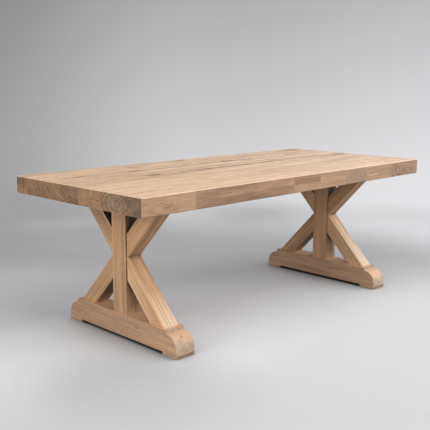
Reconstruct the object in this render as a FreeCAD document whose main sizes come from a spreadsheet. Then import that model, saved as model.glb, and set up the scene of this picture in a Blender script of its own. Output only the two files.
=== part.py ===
import FreeCAD
import Part
import Sketcher
import os

# Trestle dining table in oak: a thick glued-up top on two free-standing X trestles.
# The origin is on the floor under the middle of the top, +X runs along the table and +Z is up.

# Driving dimensions in millimetres, one sheet cell each
SIZES = {
    # Top
    "table_height": 780,
    "top_thickness": 85,
    "top_arris": 3,
    # Planks of the top, counted from the front, between two edge staves
    "edge_stave_width": 99,
    "plank_1_width": 177,
    "plank_2_width": 172,
    "plank_3_width": 145,
    "plank_4_width": 110,
    "plank_5_width": 178,
    # Blocks of the front edge stave, counted from its left end
    "block_1_length": 302,
    "block_2_length": 679,
    "block_3_length": 214,
    "block_4_length": 237,
    "block_5_length": 190,
    "block_6_length": 256,
    "block_7_length": 302,
    "lower_layer_thickness": 43,
    # Places of the trestles, from the ends of the top to the outer faces of the feet
    "left_inset": 245,
    "right_inset": 212,
    # Crossed braces, the spread is from the middle of the foot to the middle of a brace
    "brace_width": 82,
    "brace_depth": 82,
    "brace_spread": 272,
    "crossing_height": 412,
    "timber_arris": 2,
    # Post of two leaves, which stands proud of the braces by the reveal
    "post_width": 104,
    "post_reveal": 9,
    "post_tenon_shoulder": 17,
    "post_tenon_thickness": 20,
    "post_tenon_length": 50,
    # Foot beam, which stands proud of the post by the reveal, and its pads
    "foot_height": 108,
    "foot_reveal": 6,
    "foot_arris": 2.5,
    "toe_margin": 23,
    "toe_height": 21,
    "toe_step": 17,
    "pad_length": 100,
    "pad_thickness": 16,
    "pad_arris": 1,
    # Bearer under the top, as wide as the post is deep
    "bearer_thickness": 36,
    "bearer_overhang": 20,
    "bearer_bevel": 18,
    "bearer_mortise_floor": 11,
    # Loose tenons between a brace and the foot or bearer
    "loose_tenon_thickness": 16,
    "loose_tenon_width": 44,
    "loose_tenon_in_brace": 35,
    "loose_tenon_in_foot": 35,
    # Room in every mortise, on each side and at its end
    "mortise_clearance": 0.2,
    "mortise_end_gap": 1,
    # Bolts, washers and threaded inserts that hold the top on a bearer
    "bolt_diameter": 10,
    "bolt_engagement": 24,
    "bolt_head_flats": 17,
    "bolt_head_height": 6.4,
    "bolt_clearance": 0.5,
    "bolt_edge_distance": 22,
    "bolt_pitch": 250,
    "counterbore_depth": 14,
    "counterbore_clearance": 2,
    "washer_diameter": 24,
    "washer_thickness": 2.5,
    "insert_wall": 3,
    "insert_length": 28,
    "insert_clearance": 0.1,
    "insert_end_gap": 2,
}

PLANK_WIDTHS = [f"Sizes.plank_{number}_width" for number in range(1, 6)]
BLOCK_LENGTHS = [f"Sizes.block_{number}_length" for number in range(1, 8)]
LAYERED_BLOCKS = (2, 3)
TABLE_LENGTH = f"({' + '.join(BLOCK_LENGTHS)})"
TABLE_WIDTH = f"({' + '.join(PLANK_WIDTHS)} + 2 * Sizes.edge_stave_width)"

# Heights that several pieces share
TOP_UNDERSIDE = "(Sizes.table_height - Sizes.top_thickness)"
BEARER_UNDERSIDE = f"({TOP_UNDERSIDE} - Sizes.bearer_thickness)"
FOOT_TOP = "(Sizes.pad_thickness + Sizes.foot_height)"

# Lean of a brace, as sideways travel per unit of height, and half its width measured level
LEAN = f"(Sizes.brace_spread / (Sizes.crossing_height - {FOOT_TOP}))"
BRACE_HALF_WIDTH = f"(Sizes.brace_width / 2 * sqrt(1 + {LEAN}^2))"
BRACE_TOP_SPREAD = f"({LEAN} * ({BEARER_UNDERSIDE} - Sizes.crossing_height))"

# Post, foot and bearer, worked out from the braces that they hold
LEAF_THICKNESS = "(Sizes.brace_depth / 2 + Sizes.post_reveal)"
POST_TENON_HALF_WIDTH = "(Sizes.post_width / 2 - Sizes.post_tenon_shoulder)"
FOOT_HALF_DEPTH = f"({LEAF_THICKNESS} + Sizes.foot_reveal)"
TOE_RADIUS = "(Sizes.foot_height - Sizes.toe_step - Sizes.toe_height)"
FOOT_SHOULDER = f"(Sizes.brace_spread + {BRACE_HALF_WIDTH} + Sizes.toe_margin)"
FOOT_HALF_LENGTH = f"({FOOT_SHOULDER} + {TOE_RADIUS})"
BEARER_HALF_LENGTH = f"({BRACE_TOP_SPREAD} + {BRACE_HALF_WIDTH} + Sizes.bearer_overhang)"
BEARER_MORTISE_DEPTH = "(Sizes.bearer_thickness - Sizes.bearer_mortise_floor)"
BEARER_TENON_LENGTH = f"({BEARER_MORTISE_DEPTH} - Sizes.mortise_end_gap)"

# A loose tenon stands in the middle of the stretch of brace that is above or below it
TENON_SHIFT = f"{LEAN} * Sizes.loose_tenon_in_brace / 2"
FOOT_TENON_Y = f"(Sizes.brace_spread - {TENON_SHIFT})"
BEARER_TENON_Y = f"({BRACE_TOP_SPREAD} - {TENON_SHIFT})"
BRACE_MORTISE_DEPTH = "(Sizes.loose_tenon_in_brace + Sizes.mortise_end_gap)"

# Bolts
BOLT_RADIUS = "(Sizes.bolt_diameter / 2)"
BOLT_HOLE_RADIUS = f"({BOLT_RADIUS} + Sizes.bolt_clearance)"
COUNTERBORE_RADIUS = "(Sizes.washer_diameter / 2 + Sizes.counterbore_clearance)"
WASHER_UNDERSIDE = f"({BEARER_UNDERSIDE} + Sizes.counterbore_depth - Sizes.washer_thickness)"
INSERT_BORE_RADIUS = f"({BOLT_RADIUS} + Sizes.insert_clearance)"
INSERT_RADIUS = f"({INSERT_BORE_RADIUS} + Sizes.insert_wall)"

# Middle planes of the two trestles
TRESTLE_X = {
    "left": f"(-{TABLE_LENGTH} / 2 + Sizes.left_inset + {FOOT_HALF_DEPTH})",
    "right": f"({TABLE_LENGTH} / 2 - Sizes.right_inset - {FOOT_HALF_DEPTH})",
}

# How far a cutting tool runs past the wood
OVERRUN = "10"
EDGE_TOLERANCE = 0.01
SIGNS = (-1, 1)
HALF_TURN = 180
HEAD_SIDES = 6

doc = FreeCAD.newDocument("trestle_table")
nodes = []


def make_sheet():
    sheet = doc.addObject("Spreadsheet::Sheet", "Sizes")
    for row, (name, value) in enumerate(SIZES.items(), start=1):
        sheet.set(f"A{row}", name)
        sheet.set(f"B{row}", str(value))
        sheet.setAlias(f"B{row}", name)
    doc.recompute()


def bind(obj, **expressions):
    """Binds properties to expressions. A double underscore in a name stands for a dot."""
    for name, expression in expressions.items():
        obj.setExpression(name.replace("__", "."), expression)


def place(obj, x="0", y="0", z="0"):
    bind(obj, Placement__Base__x=x, Placement__Base__y=y, Placement__Base__z=z)


def as_node(obj, label):
    """Gives a sub-part the label that names its file."""
    obj.Label = label
    nodes.append(obj)


def new_body(name):
    return doc.addObject("PartDesign::Body", f"{name}_body")


def new_sketch(body, name, plane, offset="0"):
    """A sketch on one of the body's own origin planes, moved along the plane's normal."""
    sketch = body.newObject("Sketcher::SketchObject", f"{body.Name}_{name}")
    support = next(item for item in body.Origin.OriginFeatures if item.Role == plane)
    sketch.AttachmentSupport = [(support, "")]
    sketch.MapMode = "FlatFace"
    bind(sketch, AttachmentOffset__Base__z=offset)
    return sketch


def set_size(sketch, value, expression, kind, *geometry):
    """Adds one dimension to a sketch and binds it to an expression."""
    index = sketch.addConstraint(Sketcher.Constraint(kind, *geometry, value))
    sketch.setExpression(f"Constraints[{index}]", expression)


def pin_point(sketch, geometry, vertex, point):
    """Holds one point of a sketch at the place that a pair of expressions gives."""
    at = vector_at(sketch, point)
    set_size(sketch, at.x, point[0], "DistanceX", -1, 1, geometry, vertex)
    set_size(sketch, at.y, point[1], "DistanceY", -1, 1, geometry, vertex)


def vector_at(sketch, point):
    return FreeCAD.Vector(*(float(sketch.evalExpression(item)) for item in point), 0)


def draw_outline(sketch, points, centres=()):
    """A closed outline, anticlockwise, through points given as pairs of expressions.

    The edge after a point that has an entry in centres is an arc about that centre.
    """
    centres = dict(centres)
    corners = [vector_at(sketch, point) for point in points]
    first = sketch.GeometryCount
    following = [(index + 1) % len(points) for index in range(len(points))]
    for index, after in enumerate(following):
        start = corners[index]
        end = corners[after]
        if index in centres:
            centre = vector_at(sketch, centres[index])
            outwards = (start + end - centre * 2).normalize()
            edge = Part.Arc(start, centre + outwards * start.distanceToPoint(centre), end)
        else:
            edge = Part.LineSegment(start, end)
        sketch.addGeometry(edge, False)
    for index, after in enumerate(following):
        sketch.addConstraint(Sketcher.Constraint("Coincident", first + index, 2, first + after, 1))
        pin_point(sketch, first + index, 1, points[index])
    for index, centre in centres.items():
        level = vector_at(sketch, centre).y
        set_size(sketch, level, centre[1], "DistanceY", -1, 1, first + index, 3)


def draw_rectangle(sketch, half_size, centre=("0", "0")):
    """A rectangle given by the halves of its sides and its middle."""
    low = [f"{middle} - {side}" for side, middle in zip(half_size, centre)]
    high = [f"{middle} + {side}" for side, middle in zip(half_size, centre)]
    draw_outline(sketch, [(low[0], low[1]), (high[0], low[1]), (high[0], high[1]), (low[0], high[1])])


def draw_circles(sketch, radius, centres):
    value = float(sketch.evalExpression(radius))
    for centre in centres:
        circle = Part.Circle(vector_at(sketch, centre), FreeCAD.Vector(0, 0, 1), value)
        geometry = sketch.addGeometry(circle, False)
        pin_point(sketch, geometry, 3, centre)
        set_size(sketch, value, radius, "Radius", geometry)


def pad(body, sketch, length, symmetric=False):
    feature = body.newObject("PartDesign::Pad", f"{sketch.Name}_pad")
    feature.Profile = sketch
    feature.SideType = "Symmetric" if symmetric else "One side"
    bind(feature, Length=length)
    doc.recompute()


def pocket(body, sketch, depth, along_normal):
    """A cut that has to take material away, or the model is wrong."""
    before = body.Tip.Shape.Volume
    feature = body.newObject("PartDesign::Pocket", f"{sketch.Name}_pocket")
    feature.Profile = sketch
    feature.Type = "Length"
    feature.Reversed = along_normal
    bind(feature, Length=depth)
    doc.recompute()
    if not feature.Shape.Volume < before:
        raise RuntimeError(f"{feature.Name} cuts nothing")


def ease_edges(body, width, wanted):
    """Takes the sharp arris off the edges of the body that the test picks."""
    base = body.Tip
    names = [f"Edge{index}" for index, edge in enumerate(base.Shape.Edges, start=1) if wanted(edge)]
    feature = body.newObject("PartDesign::Chamfer", f"{body.Name}_arris")
    feature.Base = (base, names)
    bind(feature, Size=width)
    doc.recompute()


def every_edge(edge):
    return True


def is_upright(edge):
    return edge.BoundBox.ZLength > EDGE_TOLERANCE


def cylinder(name, radius, height, x, y, z):
    solid = doc.addObject("Part::Cylinder", name)
    bind(solid, Radius=radius, Height=height)
    place(solid, x, y, z)
    return solid


def sleeve(name, outer, inner, height, x, y, z):
    """A round piece with a hole through its middle."""
    solid = doc.addObject("Part::Cut", name)
    solid.Base = cylinder(f"{name}_outside", outer, height, x, y, z)
    solid.Tool = cylinder(f"{name}_hole", inner, height, x, y, z)
    return solid


def box(name, low, high):
    """A block between two corners."""
    solid = doc.addObject("Part::Box", name)
    spans = [f"({end}) - ({start})" for start, end in zip(low, high)]
    bind(solid, Length=spans[0], Width=spans[1], Height=spans[2])
    place(solid, *low)
    return solid


def group(name, solids):
    compound = doc.addObject("Part::Compound", f"{name}_set")
    compound.Links = solids
    return compound


def bolt_places(middle="0"):
    """Places of the four bolts of one trestle, as pairs of expressions."""
    across = f"({LEAF_THICKNESS} - Sizes.bolt_edge_distance)"
    return [(f"{middle} + {i} * {across}", f"{j} * Sizes.bolt_pitch / 2") for i in SIGNS for j in SIGNS]


def brace_outline(direction):
    """Side outline of a brace, which leans to the back for 1 and to the front for -1."""
    low = f"(-{direction} * Sizes.brace_spread)"
    high = f"({direction} * {BRACE_TOP_SPREAD})"
    return [
        (f"{low} - {BRACE_HALF_WIDTH}", FOOT_TOP),
        (f"{low} + {BRACE_HALF_WIDTH}", FOOT_TOP),
        (f"{high} + {BRACE_HALF_WIDTH}", BEARER_UNDERSIDE),
        (f"{high} - {BRACE_HALF_WIDTH}", BEARER_UNDERSIDE),
    ]


def cut_post_mortise(body, level, depth, along_normal):
    """Mortise for the tenons of both post leaves."""
    sketch = new_sketch(body, "post_mortise", "XY_Plane", level)
    thickness = "(Sizes.post_tenon_thickness + Sizes.mortise_clearance)"
    width = f"({POST_TENON_HALF_WIDTH} + Sizes.mortise_clearance)"
    draw_rectangle(sketch, (thickness, width))
    pocket(body, sketch, depth, along_normal)


def cut_loose_mortises(body, name, level, places, depth, along_normal):
    """Mortises for loose tenons that stand at the given places across the table."""
    sketch = new_sketch(body, name, "XY_Plane", level)
    thickness = "(Sizes.loose_tenon_thickness / 2 + Sizes.mortise_clearance)"
    width = "(Sizes.loose_tenon_width / 2 + Sizes.mortise_clearance)"
    for place_y in places:
        draw_rectangle(sketch, (thickness, width), ("0", place_y))
    pocket(body, sketch, depth, along_normal)


# Top

def make_blank():
    """The whole glued-up top with eased edges and the holes for the threaded inserts."""
    body = new_body("top_blank")
    sketch = new_sketch(body, "plan", "XY_Plane")
    draw_rectangle(sketch, (f"{TABLE_LENGTH} / 2", f"{TABLE_WIDTH} / 2"))
    pad(body, sketch, "Sizes.top_thickness")
    ease_edges(body, "Sizes.top_arris", every_edge)
    place(body, z=TOP_UNDERSIDE)
    radius = f"{INSERT_RADIUS} + Sizes.insert_clearance"
    depth = f"max(Sizes.insert_length; Sizes.bolt_engagement) + Sizes.insert_end_gap + {OVERRUN}"
    start = f"{TOP_UNDERSIDE} - {OVERRUN}"
    holes = []
    for side, middle in TRESTLE_X.items():
        for index, (x, y) in enumerate(bolt_places(middle)):
            holes.append(cylinder(f"{side}_insert_hole_{index}", radius, depth, x, y, start))
    bored = doc.addObject("Part::Cut", "bored_top")
    bored.Base = body
    bored.Tool = group("insert_hole", holes)
    doc.recompute()
    return bored


def cut_from_blank(blank, label, low, high):
    """One piece of the top: the part of the blank that lies between two corners."""
    piece = doc.addObject("Part::Common", f"{label}_piece")
    piece.Base = blank
    piece.Tool = box(f"{label}_room", low, high)
    as_node(piece, label)


def seams_between(start, sizes):
    """Places of the seams between pieces laid one after another from a start."""
    return [f"({' + '.join([start] + sizes[:count])})" for count in range(1, len(sizes))]


def make_planks(blank, ends, faces, sides):
    """Planks that run the length of the table, between the two edge staves."""
    seams = [sides[0]] + seams_between(sides[0], PLANK_WIDTHS) + [sides[1]]
    for number, (near, far) in enumerate(zip(seams, seams[1:]), start=1):
        cut_from_blank(blank, f"top_plank_{number}", (ends[0], near, faces[0]), (ends[1], far, faces[1]))


def make_stave(blank, stave, ends, faces, across, turn):
    """Edge stave of butt-jointed blocks. The back one is the front one turned end for end."""
    layer = f"({TOP_UNDERSIDE} + Sizes.lower_layer_thickness)"
    butts = [ends[0]] + seams_between(f"-{TABLE_LENGTH} / 2", BLOCK_LENGTHS) + [ends[1]]
    for number, span in enumerate(zip(butts, butts[1:]), start=1):
        left, right = [f"{turn} * {end}" for end in span][::turn]
        levels = {"": faces}
        if number in LAYERED_BLOCKS:
            levels = {"_lower": (faces[0], layer), "_upper": (layer, faces[1])}
        for name, (low, high) in levels.items():
            label = f"{stave}_block_{number}{name}"
            cut_from_blank(blank, label, (left, across[0], low), (right, across[1], high))


def make_top():
    blank = make_blank()
    end = f"({TABLE_LENGTH} / 2 + {OVERRUN})"
    edge = f"({TABLE_WIDTH} / 2 + {OVERRUN})"
    inner = f"({TABLE_WIDTH} / 2 - Sizes.edge_stave_width)"
    ends = (f"(-{end})", end)
    faces = (f"({TOP_UNDERSIDE} - {OVERRUN})", f"(Sizes.table_height + {OVERRUN})")
    make_planks(blank, ends, faces, (f"-{inner}", inner))
    make_stave(blank, "front", ends, faces, (f"-{edge}", f"-{inner}"), 1)
    make_stave(blank, "back", ends, faces, (inner, edge), -1)


# Trestles

def make_foot(side):
    """Foot beam with a small step and a quarter-round at each end, mortised from above."""
    body = new_body(f"{side}_foot")
    sketch = new_sketch(body, "side", "YZ_Plane")
    top = "Sizes.foot_height"
    step = "(Sizes.foot_height - Sizes.toe_step)"
    toe = "Sizes.toe_height"
    outline = [
        (f"-{FOOT_HALF_LENGTH}", "0"),
        (FOOT_HALF_LENGTH, "0"),
        (FOOT_HALF_LENGTH, toe),
        (FOOT_SHOULDER, step),
        (FOOT_SHOULDER, top),
        (f"-{FOOT_SHOULDER}", top),
        (f"-{FOOT_SHOULDER}", step),
        (f"-{FOOT_HALF_LENGTH}", toe),
    ]
    back_round = outline.index((FOOT_HALF_LENGTH, toe))
    front_round = outline.index((f"-{FOOT_SHOULDER}", step))
    centres = {back_round: (FOOT_SHOULDER, toe), front_round: (f"-{FOOT_SHOULDER}", toe)}
    draw_outline(sketch, outline, centres)
    pad(body, sketch, f"2 * {FOOT_HALF_DEPTH}", symmetric=True)

    def on_long_face(edge):
        return edge.BoundBox.XLength < EDGE_TOLERANCE and edge.BoundBox.ZMax > EDGE_TOLERANCE

    ease_edges(body, "Sizes.foot_arris", on_long_face)
    cut_post_mortise(body, top, "Sizes.post_tenon_length + Sizes.mortise_end_gap", False)
    places = [f"{sign} * {FOOT_TENON_Y}" for sign in SIGNS]
    depth = "Sizes.loose_tenon_in_foot + Sizes.mortise_end_gap"
    cut_loose_mortises(body, "brace_mortises", top, places, depth, False)
    place(body, x=TRESTLE_X[side], z="Sizes.pad_thickness")
    as_node(body, f"{side}_foot")


def make_pads(side):
    """Pads under the two ends of a foot."""
    for name, sign in zip(("front", "back"), SIGNS):
        body = new_body(f"{side}_{name}_pad")
        sketch = new_sketch(body, "plan", "XY_Plane")
        draw_rectangle(sketch, (FOOT_HALF_DEPTH, "Sizes.pad_length / 2"))
        pad(body, sketch, "Sizes.pad_thickness")
        ease_edges(body, "Sizes.pad_arris", every_edge)
        place(body, x=TRESTLE_X[side], y=f"{sign} * ({FOOT_HALF_LENGTH} - Sizes.pad_length / 2)")
        as_node(body, f"{side}_{name}_pad")


def make_post(side):
    """Two leaves, each housed over the crossed braces and tenoned into the foot and the bearer."""
    turns = {"outer": 0, "inner": HALF_TURN} if side == "right" else {"outer": HALF_TURN, "inner": 0}
    foot_tenon_end = f"({FOOT_TOP} - Sizes.post_tenon_length)"
    bearer_tenon_end = f"({BEARER_UNDERSIDE} + {BEARER_TENON_LENGTH})"
    pieces = {
        "face": ("Sizes.post_width / 2", LEAF_THICKNESS, FOOT_TOP, BEARER_UNDERSIDE),
        "foot_tenon": (POST_TENON_HALF_WIDTH, "Sizes.post_tenon_thickness", foot_tenon_end, FOOT_TOP),
        "bearer_tenon": (
            POST_TENON_HALF_WIDTH,
            "Sizes.post_tenon_thickness",
            BEARER_UNDERSIDE,
            bearer_tenon_end,
        ),
    }

    def on_outer_corner(edge):
        return is_upright(edge) and edge.BoundBox.XMin > EDGE_TOLERANCE

    for name, turn in turns.items():
        body = new_body(f"{side}_{name}_post_leaf")
        for piece, (half_width, thickness, low, high) in pieces.items():
            sketch = new_sketch(body, piece, "YZ_Plane")
            draw_rectangle(sketch, (half_width, f"({high} - {low}) / 2"), ("0", f"({high} + {low}) / 2"))
            pad(body, sketch, thickness)
            if piece == "face":
                ease_edges(body, "Sizes.timber_arris", on_outer_corner)
        for housing, direction in zip(("front_housing", "back_housing"), SIGNS):
            sketch = new_sketch(body, housing, "YZ_Plane")
            draw_outline(sketch, brace_outline(direction))
            pocket(body, sketch, "Sizes.brace_depth / 2", True)
        body.Placement.Rotation = FreeCAD.Rotation(FreeCAD.Vector(0, 0, 1), turn)
        place(body, x=TRESTLE_X[side])
        as_node(body, f"{side}_{name}_post_leaf")


def make_braces(side):
    """Two braces, half-lapped where they cross and mortised at both ends."""
    for name, direction in (("rising_back", 1), ("rising_front", -1)):
        body = new_body(f"{side}_brace_{name}")
        sketch = new_sketch(body, "side", "YZ_Plane")
        draw_outline(sketch, brace_outline(direction))
        pad(body, sketch, "Sizes.brace_depth", symmetric=True)
        ease_edges(body, "Sizes.timber_arris", is_upright)
        sketch = new_sketch(body, "half_lap", "YZ_Plane")
        draw_outline(sketch, brace_outline(-direction))
        pocket(body, sketch, "Sizes.brace_depth / 2", direction > 0)
        foot_end = [f"{-direction} * {FOOT_TENON_Y}"]
        bearer_end = [f"{direction} * {BEARER_TENON_Y}"]
        cut_loose_mortises(body, "foot_mortise", FOOT_TOP, foot_end, BRACE_MORTISE_DEPTH, True)
        cut_loose_mortises(body, "bearer_mortise", BEARER_UNDERSIDE, bearer_end, BRACE_MORTISE_DEPTH, False)
        place(body, x=TRESTLE_X[side])
        as_node(body, f"{side}_brace_{name}")


def make_bearer(side):
    """Bearer with bevelled ends, mortised from below, with counterbored bolt holes."""
    body = new_body(f"{side}_bearer")
    sketch = new_sketch(body, "side", "YZ_Plane")
    bevel = "Sizes.bearer_bevel"
    outline = [
        (f"-{BEARER_HALF_LENGTH} + {bevel}", "0"),
        (f"{BEARER_HALF_LENGTH} - {bevel}", "0"),
        (BEARER_HALF_LENGTH, bevel),
        (BEARER_HALF_LENGTH, "Sizes.bearer_thickness"),
        (f"-{BEARER_HALF_LENGTH}", "Sizes.bearer_thickness"),
        (f"-{BEARER_HALF_LENGTH}", bevel),
    ]
    draw_outline(sketch, outline)
    pad(body, sketch, f"2 * {LEAF_THICKNESS}", symmetric=True)
    cut_post_mortise(body, "0", BEARER_MORTISE_DEPTH, True)
    places = [f"{sign} * {BEARER_TENON_Y}" for sign in SIGNS]
    cut_loose_mortises(body, "brace_mortises", "0", places, BEARER_MORTISE_DEPTH, True)
    sketch = new_sketch(body, "counterbores", "XY_Plane")
    draw_circles(sketch, COUNTERBORE_RADIUS, bolt_places())
    pocket(body, sketch, "Sizes.counterbore_depth", True)
    sketch = new_sketch(body, "bolt_holes", "XY_Plane")
    draw_circles(sketch, BOLT_HOLE_RADIUS, bolt_places())
    pocket(body, sketch, "Sizes.bearer_thickness", True)
    place(body, x=TRESTLE_X[side], z=BEARER_UNDERSIDE)
    as_node(body, f"{side}_bearer")


def make_loose_tenons(side):
    """Four loose tenons, one at each end of both braces."""
    ends = {
        "foot": (
            FOOT_TENON_Y,
            f"({FOOT_TOP} - Sizes.loose_tenon_in_foot)",
            f"({FOOT_TOP} + Sizes.loose_tenon_in_brace)",
        ),
        "bearer": (
            BEARER_TENON_Y,
            f"({BEARER_UNDERSIDE} - Sizes.loose_tenon_in_brace)",
            f"({BEARER_UNDERSIDE} + {BEARER_TENON_LENGTH})",
        ),
    }
    half_thickness = "Sizes.loose_tenon_thickness / 2"
    half_width = "Sizes.loose_tenon_width / 2"
    tenons = []
    for end, (distance, low, high) in ends.items():
        for index, sign in enumerate(SIGNS):
            low_corner = (f"{TRESTLE_X[side]} - {half_thickness}", f"{sign} * {distance} - {half_width}", low)
            high_corner = (f"{TRESTLE_X[side]} + {half_thickness}", f"{sign} * {distance} + {half_width}", high)
            tenons.append(box(f"{side}_{end}_tenon_{index}", low_corner, high_corner))
    as_node(group(f"{side}_loose_tenon", tenons), f"{side}_loose_tenons")


def make_bolt(name, x, y):
    """Hexagon bolt, from its head under the washer to its end in the insert."""
    head = doc.addObject("Part::Prism", f"{name}_head")
    head.Polygon = HEAD_SIDES
    bind(head, Circumradius="Sizes.bolt_head_flats / sqrt(3)", Height="Sizes.bolt_head_height")
    place(head, x, y, f"{WASHER_UNDERSIDE} - Sizes.bolt_head_height")
    length = f"{TOP_UNDERSIDE} + Sizes.bolt_engagement - {WASHER_UNDERSIDE}"
    bolt = doc.addObject("Part::Fuse", name)
    bolt.Base = head
    bolt.Tool = cylinder(f"{name}_shank", BOLT_RADIUS, length, x, y, WASHER_UNDERSIDE)
    return bolt


def make_fasteners(side):
    """Bolts and washers in the counterbores, and inserts in the top."""
    washer = ("Sizes.washer_diameter / 2", BOLT_HOLE_RADIUS, "Sizes.washer_thickness")
    insert = (INSERT_RADIUS, INSERT_BORE_RADIUS, "Sizes.insert_length")
    sets = {"bolt": [], "washer": [], "insert": []}
    for index, (x, y) in enumerate(bolt_places(TRESTLE_X[side])):
        sets["bolt"].append(make_bolt(f"{side}_bolt_{index}", x, y))
        sets["washer"].append(sleeve(f"{side}_washer_{index}", *washer, x, y, WASHER_UNDERSIDE))
        sets["insert"].append(sleeve(f"{side}_insert_{index}", *insert, x, y, TOP_UNDERSIDE))
    for name, solids in sets.items():
        as_node(group(f"{side}_{name}", solids), f"{side}_{name}s")


def make_trestle(side):
    make_foot(side)
    make_pads(side)
    make_post(side)
    make_braces(side)
    make_bearer(side)
    make_loose_tenons(side)
    make_fasteners(side)


def check_model():
    """Stops before anything is written if an object failed or a sub-part has no sound solid."""
    doc.recompute()
    for obj in doc.Objects:
        if "Invalid" in obj.State or "Error" in obj.State:
            raise RuntimeError(f"{obj.Name} failed: {obj.State}")
    for node in nodes:
        if node.Shape.isNull() or not node.Shape.isValid() or not node.Shape.Solids:
            raise RuntimeError(f"{node.Label} has no sound solid")


def write_parts():
    os.makedirs("parts", exist_ok=True)
    for node in nodes:
        node.Shape.exportStep(os.path.join("parts", f"{node.Label}.step"))


make_sheet()
make_top()
for trestle_side in TRESTLE_X:
    make_trestle(trestle_side)
check_model()
write_parts()
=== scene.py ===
import math

import bmesh
import bpy
from mathutils import Matrix, Quaternion, Vector


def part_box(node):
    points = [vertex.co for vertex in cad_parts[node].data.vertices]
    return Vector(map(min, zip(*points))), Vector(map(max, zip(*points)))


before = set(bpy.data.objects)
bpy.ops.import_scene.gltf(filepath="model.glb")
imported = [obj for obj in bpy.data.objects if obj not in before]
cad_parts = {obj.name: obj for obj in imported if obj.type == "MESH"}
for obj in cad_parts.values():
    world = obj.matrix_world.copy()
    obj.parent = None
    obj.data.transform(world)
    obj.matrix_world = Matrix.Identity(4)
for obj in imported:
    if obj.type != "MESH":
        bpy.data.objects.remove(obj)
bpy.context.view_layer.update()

# Places read from the frame, in metres
TOP_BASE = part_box("top_plank_1")[0].z
SLAB_MIDDLE = (TOP_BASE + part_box("top_plank_1")[1].z) / 2
FOOT_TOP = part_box("left_foot")[1].z

# Lean of the braces, from the middle of the foot to the crossing
BRACE_SPREAD = 0.272
CROSSING_HEIGHT = 0.412
BRACE_LEAN = math.atan2(BRACE_SPREAD, CROSSING_HEIGHT - FOOT_TOP)

# Directions of the grain
ALONG = Vector((1, 0, 0))
ACROSS = Vector((0, 1, 0))
UPRIGHT = Vector((0, 0, 1))
RISING_BACK = Vector((0, math.sin(BRACE_LEAN), math.cos(BRACE_LEAN)))
RISING_FRONT = Vector((0, -math.sin(BRACE_LEAN), math.cos(BRACE_LEAN)))

GOLDEN = 0.618034


def srgb(red, green, blue):
    """A colour as it is seen on a screen, 0 to 255, turned into the linear values that shaders use."""
    def linear(value):
        value /= 255
        return value / 12.92 if value <= 0.04045 else ((value + 0.055) / 1.055) ** 2.4
    return linear(red), linear(green), linear(blue), 1.0


def shaded(colour, factor):
    """A screen colour made lighter or darker."""
    return srgb(*(channel * factor for channel in colour))


def varied(index, low, high):
    """A value between low and high that differs from piece to piece and is the same in every run."""
    return low + (high - low) * (index * GOLDEN % 1)


# Sockets of a Mix node that mixes colours
COLOUR_MIX_INPUTS = (0, 6, 7)
COLOUR_MIX_OUTPUT = 2
OPENNESS_SAMPLES = 8


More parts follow.
